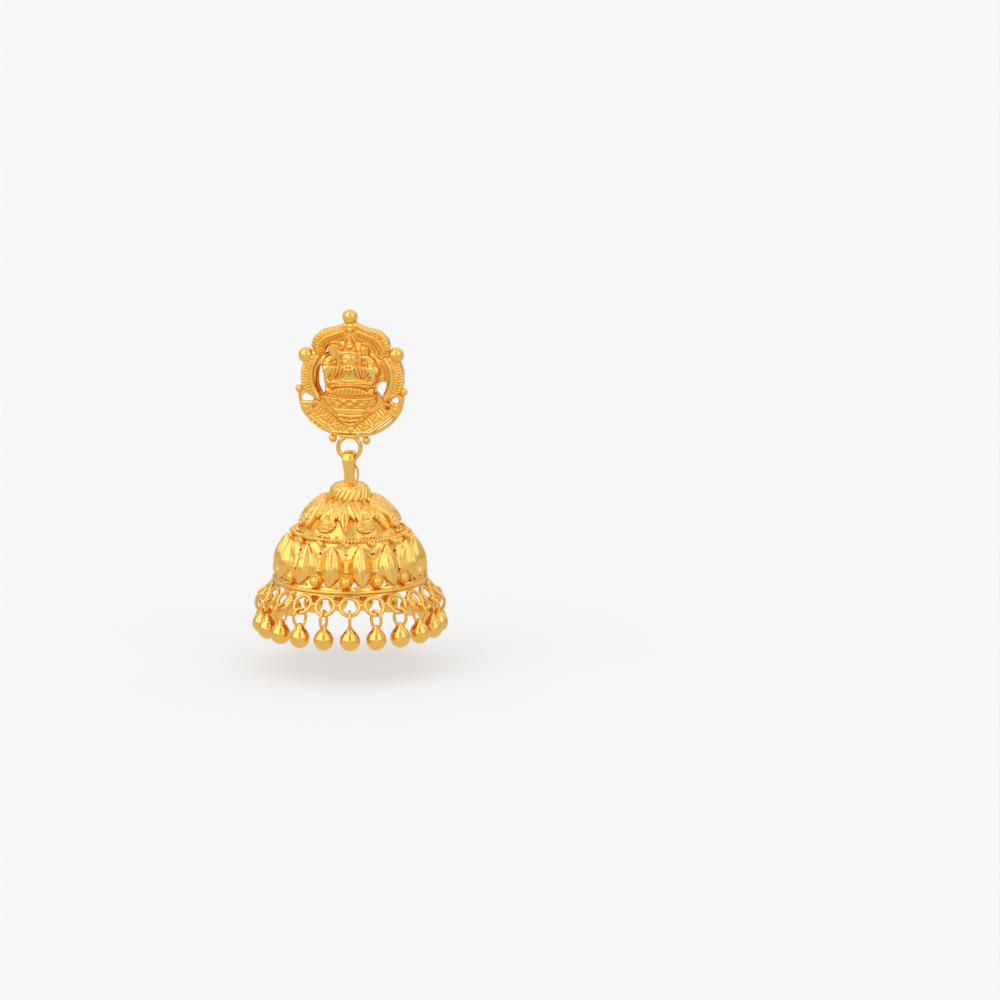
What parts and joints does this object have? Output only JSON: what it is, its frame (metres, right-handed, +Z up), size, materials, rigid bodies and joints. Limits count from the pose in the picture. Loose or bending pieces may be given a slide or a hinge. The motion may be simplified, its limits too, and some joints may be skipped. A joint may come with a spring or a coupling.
{
  "type": "jhumka earring",
  "caption": "Gold jhumka earring: pierced medallion stud with a seated figure, screw-back post, and a hollow lobed bell swinging from a ring, edged with ball drops.",
  "frame": {"origin": "on the axis of the ear post, where the post leaves the flat back of the medallion", "axes": "+Y along the ear post, away from the medallion's face, so the face looks to -Y; +Z up, along the hanging earring; +X to the right of someone who looks at the face"},
  "size_m": [0.0213, 0.0212, 0.0356],
  "materials": {
    "cast_gold": "cast 22 carat yellow gold relief, polished on the raised parts",
    "post_gold": "drawn and turned yellow gold, polished",
    "bell_gold": "pressed and soldered 22 carat yellow gold sheet and wire, polished",
    "drop_gold": "mirror polished 22 carat yellow gold"
  },
  "bodies": {
    "stud": {"stud_medallion": "cast_gold", "ear_post": "post_gold"},
    "bell": {"bell": "bell_gold", "drop_01": "drop_gold", "drop_02": "drop_gold", "drop_03": "drop_gold", "drop_04": "drop_gold", "drop_05": "drop_gold", "drop_06": "drop_gold", "drop_07": "drop_gold", "drop_08": "drop_gold", "drop_09": "drop_gold", "drop_10": "drop_gold", "drop_11": "drop_gold", "drop_12": "drop_gold", "drop_13": "drop_gold", "drop_14": "drop_gold", "drop_15": "drop_gold", "drop_16": "drop_gold", "drop_17": "drop_gold", "drop_18": "drop_gold", "drop_19": "drop_gold", "drop_20": "drop_gold", "drop_21": "drop_gold"}
  },
  "joints": [
    {"name": "bell_swing", "type": "hinge", "parent": "stud", "child": "bell", "pos_m": [0, -0.0006, -0.00898], "axis": [1, 0, 0], "range_deg": [-85, 75]}
  ]
}
